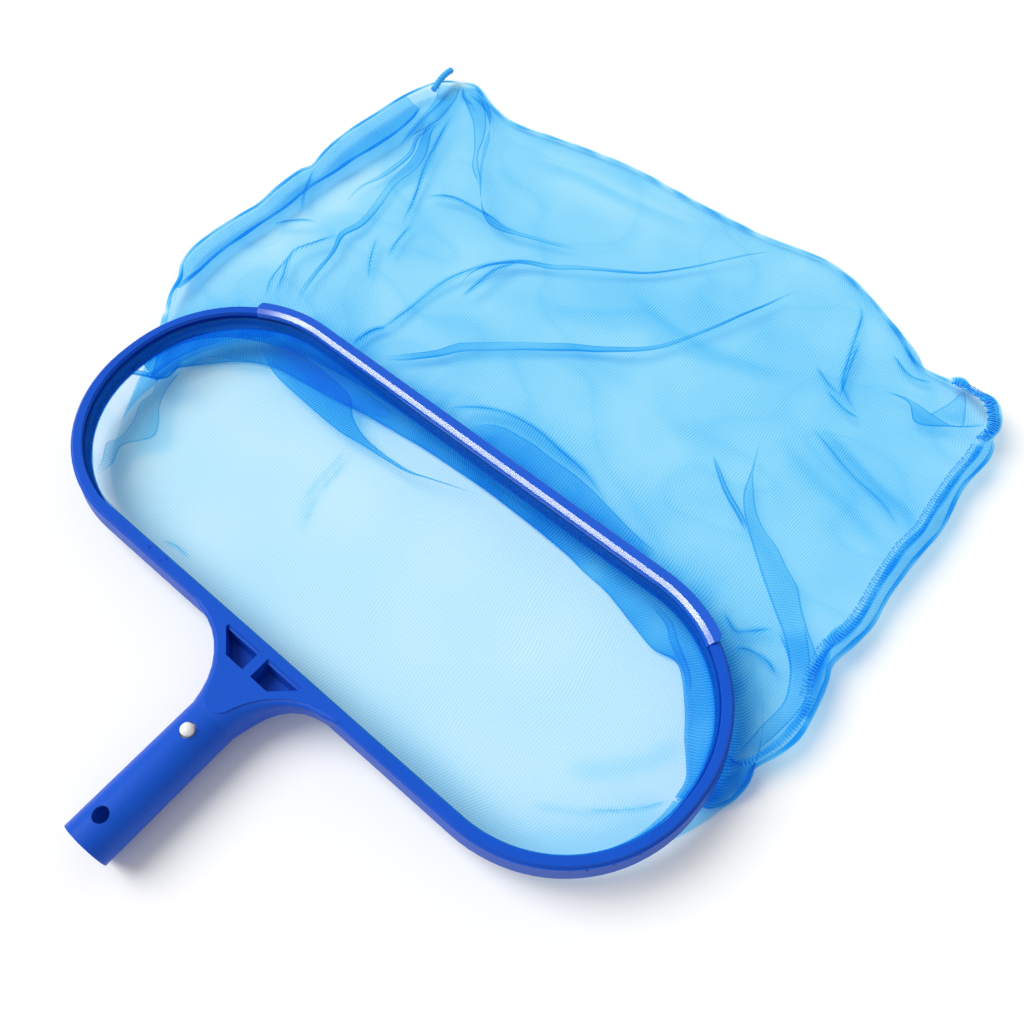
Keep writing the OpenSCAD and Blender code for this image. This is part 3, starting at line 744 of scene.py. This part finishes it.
def lower_sheet():
    """The near half: from the groove down inside the hoop, then along the floor to the closed end."""
    cloth = Cloth()
    cols, rows = NEAR_GRID
    rim, out = half_rim(cols, -1)
    foot = rim - out * NEAR_FOOT
    plan = patch(foot, smooth_path(CLOSED_END, cols), smooth_path([foot[0]] + LEFT_SEAM[1:], rows),
                 smooth_path([foot[-1]] + RIGHT_SEAM[1:], rows))
    flat = np.dstack([plan, lay(plan)])
    layers = 1.0 + 0.10 * ripple(plan, 45, 6) + crease_layers(plan, FLOOR_CREASES)
    # Fuller along the foot of the wall, most of all on the right: partly gathered cloth, partly painted
    # shade at the foot of the hoop's near wall
    from_foot, along = from_line(plan, foot[::12])
    layers += (0.25 + 0.55 * ease((along - 0.5) * 3)) * near_line(from_foot, 15)
    drop = [np.column_stack([rim - out * inset, np.full(cols, height)]) for inset, height in NEAR_DROP]
    drop = np.array(drop + [flat[0]])
    wall = np.stack([smooth_path(drop[:, k], WALL_ROWS) for k in range(cols)], axis=1)
    grid = np.vstack([wall[:-1], flat])
    pleated = 1.2 + 0.5 * ripple(wall[..., :2], 12, 7)
    cloth.add(grid, np.vstack([pleated[:-1], layers]), pitch=NEAR_SPACING)
    for points, width, amount in FLOOR_CREASES:
        if width < NEAR_NARROW:
            ridge(cloth, points, 0.7, 1.6 * amount, lay)
    return cloth.piece("bag_near_half", net_cloth, "mesh_cloth")


def hem_band():
    """The doubled tape round the mouth, held in the hoop's groove and sagging at the left end."""
    cloth = Cloth()
    far, near = half_rim(HEM_POINTS, 1), half_rim(HEM_POINTS, -1)
    rim = np.vstack([far[0], near[0][::-1][1:]])
    out = np.vstack([far[1], near[1][::-1][1:]])
    share = np.linspace(0, 1, len(rim))
    sag = near_line(share - HEM_SAG_AT, HEM_SAG_REACH)
    rows = []
    for inset, height, hang in HEM_DROP:
        xy = rim - out * (inset + HEM_SAG_IN * hang * sag)[:, None]
        rows.append(np.column_stack([xy, height - HEM_SAG_DOWN * hang * sag]))
    drop = np.array(rows)
    grid = np.stack([smooth_path(drop[:, k], HEM_ROWS) for k in range(len(rim))], axis=1)
    cloth.add(grid, HEM_LAYERS)
    for left, right, count, height, edge in HEM_FOLDS:
        band(cloth, left, right, count, height, edge, rise=1.5)
    ridge(cloth, HEM_LINE, 2.0, 4.0, lambda xy: np.full(len(xy), -3.0))
    return cloth.piece("mouth_hem_tape", hem_cloth, "hem_tape")


def strip_between(cloth, left, right, layers, z, bow=0.0):
    """A plain strip of cloth between two lines, bowed up in its middle."""
    count = max(20, int(line_length(left) / STRIP_SPACING))
    a, b = smooth_path(left, count), smooth_path(right, count)
    grid = []
    for share in np.linspace(0, 1, STRIP_ROWS):
        xy = a * (1 - share) + b * share
        grid.append(np.column_stack([xy, z(xy) + bow * math.sin(math.pi * share)]))
    cloth.add(np.array(grid), layers, pitch=STRIP_SPACING)


def raised(by):
    """The height of the far half, and that much more."""
    return lambda xy: lift(xy) + by


def side_seams():
    """Both side seams: the allowance outside each stitch line, its raw edge, and the gathered corner."""
    cloth = Cloth()
    for line, wide, layers in SEAM_CRESTS:
        ridge(cloth, line, wide, layers, raised(CREST_ABOVE), taper=20)
    ridge(cloth, NEAR_LEFT, 5.0, 4.0, raised(CREST_ABOVE))
    for line, edge, layers in ALLOWANCES:
        inner, outer = smooth_path(line, 60), smooth_path(edge, 60)
        strip_between(cloth, inner, outer, layers, raised(ALLOWANCE_ABOVE))
    for edge in RAW_EDGES:
        ridge(cloth, edge, 3.0, 7.5, raised(EDGE_ABOVE), taper=40)
    inner = offset_line(CORNER_STITCH, 0)
    ruffle = 1 + 0.45 * np.sin(np.linspace(0, 2 * CORNER_RUFFLES * math.pi, len(inner)))
    outer = inner + (offset_line(CORNER_STITCH, -CORNER_WIDTH) - inner) * ruffle[:, None]
    strip_between(cloth, inner, outer, 7.0, raised(CORNER_ABOVE), bow=1.2)
    return cloth.piece("side_seam_cloth", seam_cloth, "seam_cloth")


def seam_line(points, z, count):
    """A bare line of edges along the seam, for the stitches to follow."""
    xy = smooth_path(points, count)
    mesh = bpy.data.meshes.new("seam_line")
    line = np.column_stack([xy, z(xy)]) * MM
    mesh.from_pydata(line.tolist(), [(k, k + 1) for k in range(count - 1)], [])
    return mesh


def stitch_nodes(name, material):
    """Geometry nodes that repeat one small loop of thread along a line of edges."""
    tree = bpy.data.node_groups.new(name + "_nodes", "GeometryNodeTree")
    tree.interface.new_socket("Geometry", in_out="INPUT", socket_type="NodeSocketGeometry")
    pitch = tree.interface.new_socket("Pitch", in_out="INPUT", socket_type="NodeSocketFloat")
    width = tree.interface.new_socket("Width", in_out="INPUT", socket_type="NodeSocketFloat")
    tree.interface.new_socket("Geometry", in_out="OUTPUT", socket_type="NodeSocketGeometry")
    nodes, links = tree.nodes, tree.links
    source = nodes.new("NodeGroupInput")
    result = nodes.new("NodeGroupOutput")

    curve = nodes.new("GeometryNodeMeshToCurve")
    links.new(source.outputs["Geometry"], curve.inputs["Mesh"])
    spread = nodes.new("GeometryNodeCurveToPoints")
    spread.mode = "LENGTH"
    links.new(curve.outputs["Curve"], spread.inputs["Curve"])
    links.new(source.outputs["Pitch"], spread.inputs["Length"])

    tube = nodes.new("GeometryNodeCurveToMesh")
    for into, sides, radius in (("Curve", LOOP_SIDES, 0.5), ("Profile Curve", THREAD_SIDES, THREAD_SHARE)):
        circle = nodes.new("GeometryNodeCurvePrimitiveCircle")
        circle.inputs["Resolution"].default_value = sides
        circle.inputs["Radius"].default_value = radius
        links.new(circle.outputs["Curve"], tube.inputs[into])

    place = nodes.new("GeometryNodeInstanceOnPoints")
    links.new(spread.outputs["Points"], place.inputs["Points"])
    links.new(tube.outputs["Mesh"], place.inputs["Instance"])
    links.new(spread.outputs["Rotation"], place.inputs["Rotation"])
    size = nodes.new("ShaderNodeCombineXYZ")
    flat = maths(nodes, links, "MULTIPLY", source.outputs["Width"], LOOP_FLATNESS)
    for axis, extent in (("X", source.outputs["Width"]), ("Y", flat), ("Z", source.outputs["Width"])):
        links.new(extent, size.inputs[axis])
    links.new(size.outputs["Vector"], place.inputs["Scale"])

    jitter = nodes.new("FunctionNodeRandomValue")
    jitter.data_type = "FLOAT_VECTOR"
    jitter.inputs["Min"].default_value = [-turn for turn in LOOSE_TURN]
    jitter.inputs["Max"].default_value = LOOSE_TURN
    jitter.inputs["Seed"].default_value = STITCH_SEED
    turned = nodes.new("GeometryNodeRotateInstances")
    links.new(place.outputs["Instances"], turned.inputs["Instances"])
    links.new(jitter.outputs["Value"], turned.inputs["Rotation"])

    real = nodes.new("GeometryNodeRealizeInstances")
    links.new(turned.outputs["Instances"], real.inputs["Geometry"])
    paint = nodes.new("GeometryNodeSetMaterial")
    paint.inputs["Material"].default_value = material
    links.new(real.outputs["Geometry"], paint.inputs["Geometry"])
    links.new(paint.outputs["Geometry"], result.inputs["Geometry"])
    return tree, pitch.identifier, width.identifier


def stitches(name, points, pitch, width):
    """Overlock stitches across a seam, that far apart and that wide."""
    tree, pitch_input, width_input = stitch_nodes(name, seam_thread)
    piece = new_object(name, seam_line(points, raised(STITCH_ABOVE), 10 * len(points)))
    modifier = piece.modifiers.new("stitches", "NODES")
    modifier.node_group = tree
    modifier[pitch_input] = pitch * MM
    modifier[width_input] = width * MM
    graph = bpy.context.evaluated_depsgraph_get()
    baked = bpy.data.meshes.new_from_object(piece.evaluated_get(graph))
    piece.modifiers.remove(modifier)
    piece.data = baked
    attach(piece, BODY)
    return piece


def thread_tail():
    """The loose twist of overlock thread at the far left corner."""
    path = smooth_path(TAIL_PATH, TAIL_RINGS)
    ring, verts, faces = TAIL_SIDES, [], []
    along = np.gradient(path[:, :2], axis=0)
    across = np.column_stack([along[:, 1], -along[:, 0]]) / np.linalg.norm(along, axis=1)[:, None]
    for k, p in enumerate(path):
        fat = TAIL_RADIUS + TAIL_SWELL * math.sin(k * 1.7)
        for j in range(ring):
            a = 2 * math.pi * j / ring + TAIL_TWIST * k
            x, y = p[:2] + fat * math.cos(a) * across[k]
            verts.append((x * MM, y * MM, (p[2] + fat * math.sin(a)) * MM))
    for k in range(len(path) - 1):
        for j in range(ring):
            a, b = k * ring + j, k * ring + (j + 1) % ring
            faces.append((a, b, b + ring, a + ring))
    faces.append(tuple(range(ring))[::-1])
    faces.append(tuple(range((len(path) - 1) * ring, len(path) * ring)))
    mesh = bpy.data.meshes.new("thread_tail")
    mesh.from_pydata(verts, [], faces)
    mesh.materials.append(seam_thread)
    piece = new_object("thread_tail", mesh)
    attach(piece, BODY)
    return piece


upper = upper_sheet()
lower = lower_sheet()
hem = hem_band()
seams = side_seams()
stitched = [
    stitches("stitches_left", LEFT_STITCH, 2.0, 2.2),
    stitches("stitches_right", offset_line(RIGHT_STITCH, -2.2)[::4], 2.0, 6.0),
    stitches("stitches_corner", offset_line(CORNER_STITCH, -1.5)[::4], 1.6, 6.5),
    stitches("stitches_lower", offset_line(LOWER_STITCH, -1.0)[::4], 2.0, 4.0)]
tail = thread_tail()
for piece, node in ((upper, "bag_upper_panel"), (lower, "bag_lower_panel"), (hem, "mouth_hem")):
    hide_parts(node)
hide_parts("side_seam_left", "side_seam_right")


# ---------------------------------------------------------------- floor, light and camera
FLOOR_HALF_M = 9.0
FLOOR_COLOUR = (0.93, 0.93, 0.925, 1)
SKY_STRENGTH = 0.49
WINDOW_FROM = (-0.74, -0.24, 1.00)
WINDOW_STRENGTH = 2.50
WINDOW_SPREAD_DEG = 40
STRIP_FROM = (-0.36, -0.51, 0.745)
STRIP_ALONG = (0.94, -0.20, 0.27)
STRIP_SIZE_M = (1.6, 0.06)
STRIP_DISTANCE_M = 1.6
STRIP_WATTS = 15.0
CAMERA_AT = (225.15, 60.24, 511.01)
CAMERA_TARGET = (38.40, 280.54, 0)
LENS_IN_WIDTHS = 1000 / 1024
SENSOR_MM = 36.0
# Light passes through many layers of mesh where the bag is gathered
LAYERS_SEEN_THROUGH = 32


def studio_floor():
    """A plain pale floor, white where the light falls on it."""
    half, z = FLOOR_HALF_M, FLOOR_Z * MM
    corners = [(-half, -half, z), (half, -half, z), (half, half, z), (-half, half, z)]
    mesh = bpy.data.meshes.new("studio_floor")
    mesh.from_pydata(corners, [], [(0, 1, 2, 3)])
    floor = new_object("studio_floor", mesh)
    material, _, _, shader = new_material("studio_floor")
    shader.inputs["Base Color"].default_value = FLOOR_COLOUR
    shader.inputs["Roughness"].default_value = 0.9
    shader.inputs["Specular IOR Level"].default_value = 0.0
    mesh.materials.append(material)


def aim(lamp, toward, along=(0, 0, 1)):
    """Turns a lamp so that its light comes from that direction, with its long side along the other."""
    z = Vector(toward).normalized()
    y = z.cross(Vector(along)).normalized()
    lamp.rotation_mode = "QUATERNION"
    lamp.rotation_quaternion = Matrix((y.cross(z), y, z)).transposed().to_quaternion()


def studio_light():
    """An even sky, one broad soft window from the left and a narrow strip seen only as a glint."""
    world = bpy.data.worlds.new("studio")
    bpy.context.scene.world = world
    world.use_nodes = True
    back = world.node_tree.nodes["Background"]
    back.inputs["Color"].default_value = (1.0, 1.0, 1.0, 1)
    back.inputs["Strength"].default_value = SKY_STRENGTH
    lamp = bpy.data.lights.new("window", "SUN")
    lamp.energy = WINDOW_STRENGTH
    lamp.angle = math.radians(WINDOW_SPREAD_DEG)
    window = new_object("window", lamp)
    aim(window, WINDOW_FROM)
    window.visible_glossy = False
    strip = bpy.data.lights.new("strip", "AREA")
    strip.shape = "RECTANGLE"
    strip.size, strip.size_y = STRIP_SIZE_M
    strip.energy = STRIP_WATTS
    glint = new_object("strip", strip)
    far_rail = Vector((0, 300 * MM, 0))
    glint.location = far_rail + Vector(STRIP_FROM).normalized() * STRIP_DISTANCE_M
    aim(glint, STRIP_FROM, STRIP_ALONG)
    glint.visible_diffuse = False


def studio_camera():
    """Looks down on the net from beside the handle, half a metre up."""
    lens = bpy.data.cameras.new("camera")
    lens.sensor_width = SENSOR_MM
    lens.lens = SENSOR_MM * LENS_IN_WIDTHS
    lens.clip_start, lens.clip_end = 0.01, 20
    camera = new_object("camera", lens)
    place, target = Vector(CAMERA_AT) * MM, Vector(CAMERA_TARGET) * MM
    camera.location = place
    camera.rotation_mode = "QUATERNION"
    camera.rotation_quaternion = (place - target).to_track_quat("Z", "Y")
    bpy.context.scene.camera = camera


studio_floor()
studio_light()
studio_camera()
bpy.context.scene.view_settings.view_transform = "Standard"
bpy.context.scene.cycles.transparent_max_bounces = LAYERS_SEEN_THROUGH

bpy.context.view_layer.update()
